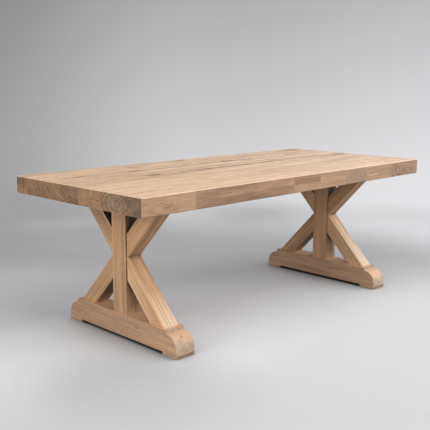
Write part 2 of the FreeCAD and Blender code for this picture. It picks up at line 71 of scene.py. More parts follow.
class Shade:
    """Short calls that build a node tree. A value is a number, a tuple or a socket."""

    def __init__(self, tree):
        self.tree = tree

    def feed(self, socket, value):
        if isinstance(value, bpy.types.NodeSocket):
            self.tree.links.new(value, socket)
        else:
            socket.default_value = value

    def add(self, kind, inputs=(), **settings):
        node = self.tree.nodes.new(kind)
        for name, value in settings.items():
            setattr(node, name, value)
        for name, value in dict(inputs).items():
            self.feed(node.inputs[name], value)
        return node

    def math(self, operation, *values):
        node = self.add("ShaderNodeMath", operation=operation)
        for socket, value in zip(node.inputs, values):
            self.feed(socket, value)
        return node.outputs[0]

    def vector(self, operation, *values):
        node = self.add("ShaderNodeVectorMath", operation=operation)
        for socket, value in zip(node.inputs, values):
            self.feed(socket, value)
        return node.outputs["Value" if operation in ("LENGTH", "DOT_PRODUCT") else "Vector"]

    def join(self, x, y, z):
        return self.add("ShaderNodeCombineXYZ", {"X": x, "Y": y, "Z": z}).outputs[0]

    def split(self, vector):
        return self.add("ShaderNodeSeparateXYZ", {"Vector": vector}).outputs

    def place(self):
        """Where the surface is, in the row's own frame."""
        return self.add("ShaderNodeTexCoord").outputs["Object"]

    def facing(self):
        """The way the surface looks, whatever its bump."""
        return self.add("ShaderNodeNewGeometry").outputs["True Normal"]

    def openness(self, reach):
        """1 in the open, and less where other surfaces stand within reach."""
        inputs = {"Distance": reach}
        return self.add("ShaderNodeAmbientOcclusion", inputs, samples=OPENNESS_SAMPLES).outputs["AO"]

    def step(self, value, low, high):
        """Goes smoothly from 0 at low to 1 at high, which may be the lesser of the two."""
        inputs = {"Value": value, "From Min": low, "From Max": high}
        return self.add("ShaderNodeMapRange", inputs, interpolation_type="SMOOTHSTEP").outputs["Result"]

    def band(self, value, rise, fall):
        """Goes from 0 to 1 over one range and back over another."""
        return self.math("SUBTRACT", self.step(value, *rise), self.step(value, *fall))

    def fit(self, value, low, high):
        """Stretches a value that runs from 0 to 1 over another range."""
        inputs = {"Value": value, "To Min": low, "To Max": high}
        return self.add("ShaderNodeMapRange", inputs, clamp=False).outputs["Result"]

    def clip(self, value):
        return self.math("MINIMUM", self.math("MAXIMUM", value, 0), 1)

    def weigh(self, values, weights):
        """The sum of named values, each times its weight."""
        total = 0
        for name, weight in weights.items():
            total = self.math("MULTIPLY_ADD", values[name], weight, total)
        return total

    def blend(self, factor, first, second):
        """Runs from the first value to the second as the factor runs from 0 to 1."""
        return self.math("MULTIPLY_ADD", factor, self.math("SUBTRACT", second, first), first)

    def noise(self, vector, fineness, detail=2.0, roughness=0.5, output="Fac"):
        inputs = {
            "Vector": self.vector("MULTIPLY", vector, fineness),
            "Scale": 1.0,
            "Detail": detail,
            "Roughness": roughness,
        }
        return self.add("ShaderNodeTexNoise", inputs).outputs[output]

    def mix(self, factor, first, second, blend="MIX"):
        node = self.add("ShaderNodeMix", data_type="RGBA", blend_type=blend)
        for index, value in zip(COLOUR_MIX_INPUTS, (factor, first, second)):
            self.feed(node.inputs[index], value)
        return node.outputs[COLOUR_MIX_OUTPUT]


# Wood

# Shifts of the rings: how fine they are along and across the grain, and their detail
DRIFT = ((1.6, 4, 4), 1)
SWIRL = ((3, 17, 17), 2)
RIPPLE = ((9, 34, 34), 2)
RIPPLE_DEPTH = 0.009
# Where in a ring its dark band of open pores and its pale line come and go
RING_START = 0.6
EARLY_WOOD = ((0, 0.08), (0.1, 0.75))
LATE_LINE = ((0.7, 0.84), (0.86, 1))
RING_STRENGTH = ((0.45, 1, 1), 1)
RING_STRENGTH_RANGE = (0.25, 0.7)
# Figure along the grain, each finer than the one before: fineness along and across, detail, roughness
FIGURE = {
    "cloud": ((0.9, 13, 13), 3, 0.55),
    "streak": ((1.4, 42, 42), 3, 0.6),
    "thread": ((3.2, 150, 150), 2, 0.6),
    "fibre": ((14, 620, 620), 2, 0.6),
}
FLECK = ((9, 46, 46), 3, 0.65)
FIGURE_RANGE = (0.3, 0.7)
FACE_WEIGHTS = {"ring": 0.24, "cloud": 0.3, "streak": 0.34, "thread": 0.26, "fibre": 0.1}
END_WEIGHTS = {"ring": 0.34, "line": -0.2, "cloud": 0.34, "streak": 0.24, "thread": 0.34, "fibre": 0.16}
PORES = ((26, 900, 900), 1)
PORE_RANGE = (0.58, 0.68)
LATE_PORES = 0.35
RAYS = ((42, 34, 16), 1)
RAY_RANGE = (0.6, 0.72)


def bend(shade, place, fineness, detail, depth):
    """A shift across the grain that differs from place to place."""
    shift = shade.noise(place, fineness, detail, output="Color")
    shift = shade.vector("SUBTRACT", shift, (0.5, 0.5, 0.5))
    return shade.vector("MULTIPLY", shift, shade.join(0, depth, depth))


def timber_group():
    """Solid oak about a pith that runs along X: growth rings, streaks, fibres, pores and rays."""
    tree = bpy.data.node_groups.new("timber", "ShaderNodeTree")
    tree.interface.new_socket("Vector", in_out="INPUT", socket_type="NodeSocketVector")
    for name in ("Ring Width", "Wander", "Swirl", "Fleck"):
        tree.interface.new_socket(name, in_out="INPUT", socket_type="NodeSocketFloat")
    for name in ("Face Tone", "End Tone", "Pore", "Ray"):
        tree.interface.new_socket(name, in_out="OUTPUT", socket_type="NodeSocketFloat")
    shade = Shade(tree)
    given = shade.add("NodeGroupInput").outputs
    result = shade.add("NodeGroupOutput").inputs
    place = given["Vector"]

    # The pith wanders slowly along the trunk, rings near a knot swirl, and all rings ripple a little
    drift = bend(shade, place, *DRIFT, given["Wander"])
    swirl = bend(shade, place, *SWIRL, given["Swirl"])
    ripple = bend(shade, place, *RIPPLE, RIPPLE_DEPTH)
    bent = shade.vector("ADD", shade.vector("ADD", drift, swirl), ripple)
    along, side, up = shade.split(shade.vector("ADD", place, bent))
    radius = shade.vector("LENGTH", shade.join(0, side, up))
    angle = shade.math("ARCTAN2", up, side)

    # Each ring starts with a dark band of open pores, and some rings are stronger than others
    turns = shade.math("ADD", shade.math("DIVIDE", radius, given["Ring Width"]), RING_START)
    age = shade.math("FRACT", turns)
    early = shade.band(age, *EARLY_WOOD)
    strength = shade.step(shade.noise(shade.join(turns, 0, 0), *RING_STRENGTH), *RING_STRENGTH_RANGE)
    parts = {"ring": shade.math("MULTIPLY", early, strength), "line": shade.band(age, *LATE_LINE)}

    for name, figure in FIGURE.items():
        parts[name] = shade.step(shade.noise(place, *figure), *FIGURE_RANGE)
    fleck = shade.fit(shade.step(shade.noise(place, *FLECK), *FIGURE_RANGE), -0.5, 0.5)
    face = shade.weigh(parts, FACE_WEIGHTS)
    shade.feed(result["Face Tone"], shade.math("MULTIPLY_ADD", fleck, given["Fleck"], face))
    shade.feed(result["End Tone"], shade.weigh(parts, END_WEIGHTS))

    dashes = shade.step(shade.noise(place, *PORES), *PORE_RANGE)
    shade.feed(result["Pore"], shade.math("MULTIPLY", dashes, shade.fit(early, LATE_PORES, 1)))
    flecks = shade.noise(shade.join(angle, along, radius), *RAYS)
    shade.feed(result["Ray"], shade.step(flecks, *RAY_RANGE))
    return tree


TIMBER = timber_group()
DARK_WARMTH = (1.0, 0.985, 0.965)
# Worn edges with their painted highlight are paler by this share of the spread
WORN_HIGHLIGHT_SHARE = 0.8


class Tones:
    """Mean colours of the long grain and of the end grain, and how far the grain departs from them."""

    def __init__(self, face, end, spread=0.16, end_spread=0.16):
        self.light = shaded(face, 1 + spread)
        self.dark = shaded([channel * warm for channel, warm in zip(face, DARK_WARMTH)], 1 - spread)
        self.worn_highlight = shaded(face, 1 + WORN_HIGHLIGHT_SHARE * spread)
        self.end_light = shaded(end, 1 + end_spread)
        self.end_dark = shaded(end, 1 - end_spread)


class Grain:
    """Where one piece was cut from its tree: the way the grain runs, a point on the pith, and its rings."""

    def __init__(self, direction, pith, ring_width=0.008, wander=0.03, oval=1.0, swirl=0.0,
                 fleck=0.0, roll=0.0, fineness=1.0, painted_light=None):
        self.turn = (ALONG.rotation_difference(direction) @ Quaternion(ALONG, roll)).to_euler()
        self.pith = pith
        self.ring_width = ring_width
        self.wander = wander
        self.swirl = swirl
        self.fleck = fleck
        self.painted_light = painted_light
        self.stretch = (fineness, oval * fineness, fineness)


class PaintedLight:
    """Painted light: a paler colour on the faces that look up, which comes in along one of the row's axes.
    """

    UPWARD_RANGE = (0.3, 0.6)

    def __init__(self, axis, start, end, gain):
        self.axis = axis
        self.start = start
        self.end = end
        self.gain = gain

    def change(self, shade, place, facing, colour):
        part = shade.split(place)["xyz".index(self.axis)]
        upward = shade.step(shade.split(facing)[2], *self.UPWARD_RANGE)
        factor = shade.math("MULTIPLY", upward, shade.step(part, self.start, self.end))
        return shade.mix(factor, colour, self.gain, "MULTIPLY")


class Mark:
    """A knot or streak, as a ragged ellipse in two of the row's axes. A pale one has a negative strength."""

    RAGGED = [((12, 50, 50), 0.6), ((40, 190, 190), 0.5)]
    HALO_RANGE = (1, 0.1)
    CORE_RANGE = (0.5, 0)
    WEIGHTS = {"halo": 0.6, "core": 0.6}

    def __init__(self, first, second, half_length, half_width, strength, axes="xy"):
        self.centre = (first, second)
        self.half_size = (half_length, half_width)
        self.strength = strength
        self.axes = axes

    def change(self, shade, place, tone):
        parts = dict(zip("xyz", shade.split(place)))
        offsets = []
        for axis, centre, half in zip(self.axes, self.centre, self.half_size):
            offsets.append(shade.math("DIVIDE", shade.math("SUBTRACT", parts[axis], centre), half))
        distance = shade.vector("LENGTH", shade.join(*offsets, 0))
        for fineness, depth in self.RAGGED:
            distance = shade.math("ADD", distance, shade.fit(shade.noise(place, fineness), -depth, depth))
        halo = shade.step(distance, *self.HALO_RANGE)
        core = shade.step(distance, *self.CORE_RANGE)
        darkness = shade.weigh({"halo": halo, "core": core}, self.WEIGHTS)
        return shade.math("MULTIPLY_ADD", darkness, self.strength, tone)


class Chevrons:
    """A herringbone of pale lines that points away from the middle of the table, at one end of a block."""

    SLOPE = 1.5
    PERIOD = 0.021
    BEND_FINENESS = (18, 18, 18)
    BEND_DEPTH = 0.009
    LOWER_CLOSENESS = 1.25
    MIDDLE_SOFTNESS = 0.004
    LINE_RANGE = (0.1, 0.4)
    PATCH_FINENESS = (24, 24, 24)
    PATCH_STRENGTH = 1.6
    TONE_RANGE = (0.62, 0.13)
    SEAM_SOFTNESS = 0.004
    TIP_SOFTNESS = 0.02
    SHARE = 0.75

    def __init__(self, seam, tip):
        self.seam = seam
        self.tip = tip

    def change(self, shade, place, tone):
        x, _, z = shade.split(place)
        along = shade.math("ABSOLUTE", x)
        height = shade.math("SUBTRACT", z, SLAB_MIDDLE)
        line = shade.math("MULTIPLY_ADD", shade.math("ABSOLUTE", height), self.SLOPE, along)
        bent = shade.fit(shade.noise(place, self.BEND_FINENESS), -self.BEND_DEPTH, self.BEND_DEPTH)
        line = shade.math("ADD", line, bent)
        upper = shade.step(height, -self.MIDDLE_SOFTNESS, self.MIDDLE_SOFTNESS)
        closeness = shade.fit(upper, self.LOWER_CLOSENESS, 1)
        wave = shade.math("PINGPONG", shade.math("MULTIPLY", line, closeness), self.PERIOD / 2)
        pale = shade.step(wave, *(self.PERIOD * part for part in self.LINE_RANGE))
        patchy = shade.fit(shade.noise(place, self.PATCH_FINENESS), 0, self.PATCH_STRENGTH)
        stripes = shade.fit(shade.math("MULTIPLY", pale, patchy), *self.TONE_RANGE)
        past_seam = shade.step(along, self.seam, self.seam + self.SEAM_SOFTNESS)
        before_tip = shade.step(line, self.tip, self.tip - self.TIP_SOFTNESS)
        window = shade.math("MULTIPLY", past_seam, before_tip)
        return shade.blend(shade.math("MULTIPLY", window, self.SHARE), tone, stripes)


class PaintedUpperLight:
    """Painted light: another tone on the faces that look up. A paler one has a negative strength."""

    UPWARD_RANGE = (0.6, 0.95)

    def __init__(self, strength):
        self.strength = strength

    def change(self, shade, place, tone):
        upward = shade.step(shade.split(shade.facing())[2], *self.UPWARD_RANGE)
        return shade.math("MULTIPLY_ADD", upward, self.strength, tone)


class Fade:
    """A slow change of tone along one of the row's axes. A paler one has a negative strength."""

    def __init__(self, axis, start, end, strength):
        self.axis = axis
        self.start = start
        self.end = end
        self.strength = strength

    def change(self, shade, place, tone):
        part = shade.split(place)["xyz".index(self.axis)]
        return shade.math("MULTIPLY_ADD", shade.step(part, self.start, self.end), self.strength, tone)


# How far a surface looks along the grain where it turns into end grain, and how square a flat one is
END_GRAIN_RANGE = (0.35, 0.95)
FLAT_RANGE = (0.8, 0.95)
# Tones darker than the grain's darkest turn into those of a knot
KNOT = srgb(84, 62, 46)
KNOT_RANGE = (1, 1.9)
PORE = srgb(96, 70, 48)
PORE_SHARE = 0.35
RAY_SHARE = 0.25
# Edges that look up are paler, partly from wear and partly as a painted highlight where they catch the
# light, most of all on pale grain
UPWARD_RANGE = (-0.3, 0.3)
WEAR_HIGHLIGHT_RANGE = (0.9, 0.4)
# Painted shade: closed-in corners above the feet are darker
RECESS_SHADE = srgb(58, 38, 24)
RECESS_REACH = 0.12
RECESS_RANGE = (0.8, 0.3)
ROUGHNESS_RANGE = (0.52, 0.68)
HOLLOWS = {"Pore": 0.8, "Face Tone": 0.4}
BUMP_STRENGTH = 0.3
BUMP_DISTANCE = 0.0006
WOOD_SPECULAR = 0.4


def cut_timber(shade, grain, place):
    """The timber group, laid along the grain of one piece."""
    cut = {"Vector": place, "Location": grain.pith, "Rotation": grain.turn, "Scale": grain.stretch}
    inputs = {
        "Vector": shade.add("ShaderNodeMapping", cut, vector_type="TEXTURE").outputs[0],
        "Ring Width": grain.ring_width,
        "Wander": grain.wander,
        "Swirl": grain.swirl,
        "Fleck": grain.fleck,
    }
    return shade.add("ShaderNodeGroup", inputs, node_tree=TIMBER).outputs


def grain_look(shade, grain, tones, marks=()):
    """Colour, roughness and height of solid wood with that grain, with painted light where the grain has it,
    wear with a painted highlight on edges that look up, and painted shade in closed-in corners.
    """
    place = shade.place()
    facing = shade.facing()
    wood = cut_timber(shade, grain, place)
    turned = {"Vector": facing, "Rotation": grain.turn}
    normal = shade.add("ShaderNodeMapping", turned, vector_type="TEXTURE").outputs[0]
    ends, sides, tops = [shade.math("ABSOLUTE", part) for part in shade.split(normal)]
    end_grain = shade.step(ends, *END_GRAIN_RANGE)
    squarest = shade.math("MAXIMUM", ends, shade.math("MAXIMUM", sides, tops))
    arris = shade.math("SUBTRACT", 1, shade.step(squarest, *FLAT_RANGE))

    tone = shade.blend(end_grain, wood["Face Tone"], wood["End Tone"])
    for mark in marks:
        tone = mark.change(shade, place, tone)
    light = shade.mix(end_grain, tones.light, tones.end_light)
    dark = shade.mix(end_grain, tones.dark, tones.end_dark)
    colour = shade.mix(shade.clip(tone), light, dark)
    # Painted light: some pieces are paler on the faces that look up
    if grain.painted_light:
        colour = grain.painted_light.change(shade, place, facing, colour)
    colour = shade.mix(shade.step(tone, *KNOT_RANGE), colour, KNOT)
    colour = shade.mix(shade.math("MULTIPLY", wood["Pore"], PORE_SHARE), colour, PORE)
    colour = shade.mix(shade.math("MULTIPLY", wood["Ray"], RAY_SHARE), colour, tones.light)

    # Wear and a painted highlight on the edges that look up
    upward = shade.step(shade.split(facing)[2], *UPWARD_RANGE)
    worn_highlight = shade.math("MULTIPLY", arris, shade.fit(wood["Face Tone"], *WEAR_HIGHLIGHT_RANGE))
    colour = shade.mix(shade.math("MULTIPLY", worn_highlight, upward), colour, tones.worn_highlight)
    # Painted shade in closed-in corners, above the top of the feet
    raised = shade.step(shade.split(place)[2], FOOT_TOP, FOOT_TOP + RECESS_REACH / 2)
    closed = shade.step(shade.openness(RECESS_REACH), *RECESS_RANGE)
    colour = shade.mix(shade.math("MULTIPLY", raised, closed), colour, RECESS_SHADE)
    roughness = shade.fit(shade.clip(tone), *ROUGHNESS_RANGE)
    height = shade.math("SUBTRACT", 1, shade.weigh(wood, HOLLOWS))
    return colour, roughness, height


def new_material(name):
    material = bpy.data.materials.new(name)
    material.use_nodes = True
    shade = Shade(material.node_tree)
    surface = material.node_tree.nodes["Principled BSDF"]
    return material, shade, surface


def dress(node, material):
    """Gives a CAD node its material."""
    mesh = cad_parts[node].data
    mesh.materials.clear()
    mesh.materials.append(material)


def finish_wood(shade, surface, colour, roughness, height):
    relief = {"Height": height, "Strength": BUMP_STRENGTH, "Distance": BUMP_DISTANCE}
    bump = shade.add("ShaderNodeBump", relief)
    shade.feed(surface.inputs["Base Color"], colour)
    shade.feed(surface.inputs["Roughness"], roughness)
    shade.feed(surface.inputs["Normal"], bump.outputs["Normal"])
    surface.inputs["Specular IOR Level"].default_value = WOOD_SPECULAR


def wood_piece(node, grain, tones, marks=()):
    """A piece cut from one tree, seen from all its sides."""
    material, shade, surface = new_material(f"oak_{node}")
    finish_wood(shade, surface, *grain_look(shade, grain, tones, marks))
    dress(node, material)


# Top

TOP_RING_WIDTH = 0.011
TOP_FLECK = 0.34
TOP_START = -1.3
# Painted light: the upper face of the top, planks and staves alike, gets paler towards its +X end
TOP_PAINTED_LIGHT = PaintedLight("x", -1.0, 1.0, (1.04, 1.09, 1.19, 1))


class Plank:
    """One plank of the top: its colours, and its pith and rings as the near end shows them."""

    def __init__(self, face, spread, pith, end, end_spread,
                 oval=1.0, ring_width=TOP_RING_WIDTH, swirl=0.0):
        self.tones = Tones(face, end, spread, end_spread)
        self.pith = pith
        self.oval = oval
        self.ring_width = ring_width
        self.swirl = swirl


PLANKS = {
    1: Plank((208, 177, 149), 0.12, (-0.327, 0.734), (136, 109, 83), 0.24, 1.8, 0.0155, 0.016),
    2: Plank((210, 179, 150), 0.13, (-0.128, 0.50), (150, 115, 84), 0.12),
    3: Plank((204, 173, 145), 0.18, (0.01, 0.66), (124, 95, 71), 0.18, 1.4, 0.018, 0.03),
    4: Plank((206, 174, 146), 0.17, (0.208, 0.742), (140, 106, 77), 0.16, 1.2, 0.024, 0.05),
    5: Plank((205, 174, 146), 0.17, (0.222, 0.742), (132, 100, 72), 0.18, 1.2, 0.026, 0.06),
}

# Dark streaks and small knots on the upper face, by their place along and across the table
TOP_MARKS = [
    Mark(-0.442, 0.375, 0.09, 0.018, 1.3),
    Mark(-0.54, 0.232, 0.1, 0.026, 1.1),
    Mark(-0.9, 0.23, 0.09, 0.016, 0.8),
    Mark(-0.59, 0.036, 0.075, 0.018, 1.7),
    Mark(-0.22, 0.048, 0.16, 0.02, 1.0),
    Mark(0.08, 0.04, 0.1, 0.018, 1.4),
    Mark(0.33, 0.046, 0.18, 0.022, 0.9),
    Mark(0.16, 0.242, 0.16, 0.026, 1.1),
    Mark(0.32, 0.225, 0.08, 0.018, 0.8),
    Mark(0.76, 0.24, 0.14, 0.024, 1.1),
    Mark(-0.04, 0.455, 0.09, 0.02, 1.1),
    Mark(-0.09, -0.236, 0.12, 0.018, 0.8),
    Mark(0.65, -0.19, 0.26, 0.02, 0.6),
    Mark(1.0, 0.02, 0.16, 0.034, 0.8),
    Mark(1.0, 0.42, 0.18, 0.06, 0.8),
    Mark(0, 0.045, 1.3, 0.026, 0.6),
    Mark(0, 0.235, 1.3, 0.024, 0.5),
    Mark(0.1, -0.2, 1.2, 0.022, 0.3),
]

# What the near end of the top shows: a pale streak, and a line of small dark flecks
END_MARKS = [
    Mark(0.025, 0.738, 0.05, 0.006, -0.9, "yz"),
    Mark(-0.15, 0.738, 0.05, 0.005, 0.7, "yz"),
    Mark(-0.185, 0.735, 0.012, 0.006, 0.9, "yz"),
    Mark(0.208, 0.745, 0.012, 0.014, 1.2, "yz"),
]


def marks_within(node):
    """The marks whose middle lies in a node's outline."""
    low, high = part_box(node)
    inside = []
    for mark in TOP_MARKS + END_MARKS:
        axis = mark.axes.index("y")
        if low.y < mark.centre[axis] < high.y:
            if mark.axes == "yz" or low.x - mark.half_size[0] < mark.centre[0] < high.x + mark.half_size[0]:
                inside.append(mark)
    return inside


def dress_planks():
    for number, plank in PLANKS.items():
        node = f"top_plank_{number}"
        pith = (TOP_START - number, *plank.pith)
        grain = Grain(ALONG, pith, plank.ring_width, oval=plank.oval, swirl=plank.swirl,
                      fleck=TOP_FLECK, painted_light=TOP_PAINTED_LIGHT)
        wood_piece(node, grain, plank.tones, marks_within(node))


class Block:
    """One block of an edge stave: the colour of its outer face, its grain and its rings there."""

    def __init__(self, face, spread, direction, pith, rings, marks=(), end=None):
        self.ring_width, self.oval, self.swirl, ring_spread = rings
        self.tones = Tones(face, end or face, spread, ring_spread)
        self.direction = direction
        self.pith = pith
        self.marks = list(marks)


def slanted(angle, rise=0.0):
    """Grain that runs along the table and slants a little."""
    return Vector((math.cos(angle), -math.sin(angle), rise)).normalized()


# A pith is given by how far it lies behind the outer face, or from the middle of the block where the grain
# runs across the table, and by its height from the middle of the slab. Rings are given by their width,
# oval, swirl and contrast.
SLANT_LEFT = slanted(0.16)
SLANT_RIGHT = slanted(0.1, 0.03)
STAVE_RINGS = (0.013, 1.0, 0.025, 0.22)
STAVE_WANDER = 0.02
# The upper face of a stave has the grain of a plank, whose pith lies below the slab
UPPER_PITH_DEPTH = 0.06
UPPER_FACE_RANGE = (0.5, 0.8)
# A pale seam line with a small knot, on a block that is paler at both ends
SEAM_LINE = [
    Fade("x", -0.66, -0.78, -0.12),
    Fade("x", -0.4, -0.15, -0.16),
    Mark(-0.56, 0.737, 0.11, 0.007, -1.3, "xz"),
    Mark(-0.38, 0.735, 0.1, 0.006, -1.0, "xz"),
    Mark(-0.655, 0.757, 0.006, 0.004, 1.0, "xz"),
]
DARK_STREAKS = [
    Mark(0.705, 0.745, 0.04, 0.004, 0.7, "xz"),
    Mark(0.66, 0.738, 0.03, 0.003, 0.5, "xz"),
    Mark(0.6, 0.726, 0.07, 0.005, -0.7, "xz"),
]
BLOCKS = {
    "1": Block((178, 142, 112), 0.17, SLANT_LEFT, (0.02, -0.016), STAVE_RINGS,
               [Chevrons(0.788, 0.932), Mark(-0.452, 0.716, 0.024, 0.022, 0.2, "yz")], end=(117, 92, 70)),
    "2_lower": Block((146, 113, 89), 0.17, SLANT_RIGHT, (0.03, -0.05), STAVE_RINGS, SEAM_LINE),
    "2_upper": Block((155, 122, 97), 0.18, SLANT_RIGHT, (0.05, 0.07), STAVE_RINGS, SEAM_LINE),
    "3_lower": Block((170, 137, 109), 0.18, SLANT_LEFT, (0.01, -0.08), (0.01, 1.0, 0.03, 0.22)),
    "3_upper": Block((152, 117, 88), 0.16, ALONG, (0.06, 0.1), STAVE_RINGS),
    "4": Block((168, 134, 106), 0.18, ALONG, (0.02, -0.1), (0.011, 1.0, 0.05, 0.22)),
    "5": Block((165, 134, 109), 0.16, ACROSS, (0.05, 0.005), (0.02, 1.3, 0.1, 0.1)),
    "6": Block((163, 131, 105), 0.24, ALONG, (0.04, 0.13), STAVE_RINGS, DARK_STREAKS),
    "7": Block((154, 122, 97), 0.16, ACROSS, (-0.012, 0.003), (0.019, 1.7, 0.04, 0.22)),
}
BACK_BLOCKS = {
    **BLOCKS,
    "7": Block((165, 132, 105), 0.17, ALONG, (0.12, -0.02), (0.016, 1.2, 0.06, 0.34), end=(137, 104, 77)),
}


def dress_block(stave, number, index, block):
    """A block of an edge stave. Its upper face matches the plank beside it."""
    node = f"{stave}_block_{number}"
    low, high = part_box(node)
    middle = (low + high) / 2
    outward = -1 if stave == "front" else 1
    outer = low.y if stave == "front" else high.y
    plank = PLANKS[1 if stave == "front" else len(PLANKS)]
    offset, rise = block.pith
    if block.direction is ACROSS:
        pith = (middle.x - outward * offset, low.y - index, SLAB_MIDDLE + rise)
    else:
        pith = (middle.x, outer - outward * offset, SLAB_MIDDLE + rise)
    material, shade, surface = new_material(f"oak_{node}")
    grain = Grain(block.direction, pith, block.ring_width, STAVE_WANDER, block.oval, block.swirl)
    below = grain_look(shade, grain, block.tones, block.marks)
    upper_pith = (low.x - index, middle.y, TOP_BASE - UPPER_PITH_DEPTH)
    upper_grain = Grain(ALONG, upper_pith, TOP_RING_WIDTH, fleck=TOP_FLECK, painted_light=TOP_PAINTED_LIGHT)
    above = grain_look(shade, upper_grain, plank.tones, marks_within(node))
    factor = shade.step(shade.split(shade.facing())[2], *UPPER_FACE_RANGE)
    colour = shade.mix(factor, below[0], above[0])
    roughness = shade.blend(factor, below[1], above[1])
    height = shade.blend(factor, below[2], above[2])
    finish_wood(shade, surface, colour, roughness, height)
    dress(node, material)


def dress_staves():
    for stave, blocks in (("front", BLOCKS), ("back", BACK_BLOCKS)):
        for index, (number, block) in enumerate(blocks.items()):
            dress_block(stave, number, index, block)


# Trestles

TRESTLE_SPREAD = 0.19
TRESTLE_RING_WIDTH = 0.018
TRESTLE_FINENESS = 0.6
TRESTLE_END = (186, 158, 137)
# How far a pith may lie from the middle of its piece along the table and to the side, and how tints vary
PITH_ALONG = (-0.14, 0.14)
PITH_ASIDE = (0.06, 0.16)
TINT_RANGE = (0.98, 1.02)


class Timber:
    """One piece of a trestle: the way its grain runs and the colours of its long grain and end grain."""

    def __init__(self, direction, face, end=TRESTLE_END, roll=0.0):
        self.direction = direction
        self.roll = roll
        self.face = face
        self.end = end

    def tones(self, tint):
        face, end = [[channel * tint for channel in colour] for colour in (self.face, self.end)]
        return Tones(face, end, TRESTLE_SPREAD)


TIMBERS = {
    "foot": Timber(ACROSS, (188, 151, 121), (201, 173, 150)),
    "front_pad": Timber(ACROSS, (176, 142, 112), (152, 122, 98)),
    "back_pad": Timber(ACROSS, (176, 142, 112), (152, 122, 98)),
    "outer_post_leaf": Timber(UPRIGHT, (185, 145, 110)),
    "inner_post_leaf": Timber(UPRIGHT, (185, 145, 110)),
    "brace_rising_back": Timber(RISING_BACK, (194, 156, 122), roll=-BRACE_LEAN),
    "brace_rising_front": Timber(RISING_FRONT, (177, 139, 104), roll=BRACE_LEAN),
    "bearer": Timber(ACROSS, (150, 117, 88)),
    "loose_tenons": Timber(UPRIGHT, (196, 164, 130)),
}
# The feet get painted light on the faces that look up. The left foot also has two small knots, and the left
# back brace gets darker upwards.
TRESTLE_MARKS = {
    "left_foot": [
        PaintedUpperLight(-0.8),
        Mark(-0.134, 0.082, 0.018, 0.006, 0.9, "yz"),
        Mark(-0.789, 0.092, 0.011, 0.008, 1.4, "xz"),
    ],
    "left_brace_rising_back": [Fade("z", 0.3, 0.58, 0.6)],
    "right_foot": [PaintedUpperLight(-0.5)],
}
# Painted light on the upper sides of the rising back braces, paler towards the foot
TRESTLE_PAINTED_LIGHT = {
    "left_brace_rising_back": PaintedLight("z", 0.3, 0.08, (1.08, 1.3, 1.62, 1)),
    "right_brace_rising_back": PaintedLight("z", 0.38, 0.26, (1.08, 1.33, 1.62, 1)),
}
SIDE_TINTS = {"left": 0.97, "right": 1.015}
PIECE_TINTS = {
    "left_brace_rising_back": 1.12,
    "left_brace_rising_front": 1.08,
    "right_brace_rising_back": 1.05,
    "right_foot": 0.975,
}


def dress_trestles():
    index = 0
    for side, tint in SIDE_TINTS.items():
        for name, timber in TIMBERS.items():
            index += 1
            node = f"{side}_{name}"
            low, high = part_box(node)
            middle = (low + high) / 2
            sideways = timber.direction.cross(ALONG).normalized()
            pith = middle + ALONG * varied(index, *PITH_ALONG) + sideways * varied(index * 3, *PITH_ASIDE)
            pith -= timber.direction * (1 + index)
            tones = timber.tones(tint * PIECE_TINTS.get(node, 1) * varied(index * 2, *TINT_RANGE))
            grain = Grain(timber.direction, pith, TRESTLE_RING_WIDTH, roll=timber.roll,
                          fineness=TRESTLE_FINENESS, painted_light=TRESTLE_PAINTED_LIGHT.get(node))
            wood_piece(node, grain, tones, TRESTLE_MARKS.get(node, ()))


# Fasteners

STEEL_DARK = srgb(176, 178, 178)
STEEL_LIGHT = srgb(206, 206, 200)
STEEL_PATCHES = ((160, 160, 160), 3, 0.6)
STEEL_ROUGHNESS_RANGE = (0.26, 0.46)


def dress_steel():
    material, shade, surface = new_material("plated_steel")
    patches = shade.noise(shade.place(), *STEEL_PATCHES)
    shade.feed(surface.inputs["Base Color"], shade.mix(patches, STEEL_DARK, STEEL_LIGHT))
    shade.feed(surface.inputs["Roughness"], shade.fit(patches, *STEEL_ROUGHNESS_RANGE))
    surface.inputs["Metallic"].default_value = 1
    for side in ("left", "right"):
        for name in ("bolts", "washers", "inserts"):
            dress(f"{side}_{name}", material)


# Studio

FLOOR_RADIUS = 5.6
COVE_RADIUS = 3.0
WALL_HEIGHT = 9.0
COVE_STEPS = 16
SWEEP_STEPS = 128
MERGE_DISTANCE = 0.0005

# Level directions across the photograph and away from it
VIEW_SIDE = (math.sqrt(0.5), -math.sqrt(0.5), 0)
VIEW_AWAY = (math.sqrt(0.5), math.sqrt(0.5), 0)

# Tones of the floor, where painted shade makes the far floor darker, and how they pass into each other, and
# from the middle outwards into the backdrop
NEAR_FLOOR = srgb(203, 203, 205)
NEAR_TO_MID = (-1.5, -0.7)
MID_FLOOR = srgb(207, 207, 209)
MID_TO_FAR = (0, 1.2)
FAR_FLOOR = srgb(156, 156, 158)
FLOOR_TO_WALL = (1.5, 2.9)
FLOOR_ROUGHNESS = 0.8
FLOOR_SPECULAR = 0.1
# Painted light and painted shadow on the floor, as pools of other tones under, behind and before the table:
# middle, scale and colour
PAINTED_FLOOR_POOLS = [
    ((0.8, 1.1, 0), (0.75, 0.75, 0), srgb(167, 167, 169)),
    ((-0.85, 0.1, 0), (0.65, 1, 0), srgb(240, 240, 242)),
    ((-1.2, -0.55, 0), (1.5, 1.5, 0), srgb(184, 184, 186)),
    ((-0.75, 1.0, 0), (1.3, 1.3, 0), srgb(187, 187, 189)),
    ((0.35, 2.0, 0), (1.6, 1.6, 0), srgb(176, 176, 178)),
]
FLOOR_POOL_RANGE = (0.2, 1.0)
# Light that reaches the table from the floor is the same all round
BOUNCE = srgb(154, 154, 154)
# The floor glows a little of its own where it is seen, which keeps broad shadows soft and close ones dark
GLOW = srgb(203, 203, 205)
GLOW_SHARE = 0.36
GLOW_REACH = 0.3
GLOW_RANGE = (0.3, 0.95)
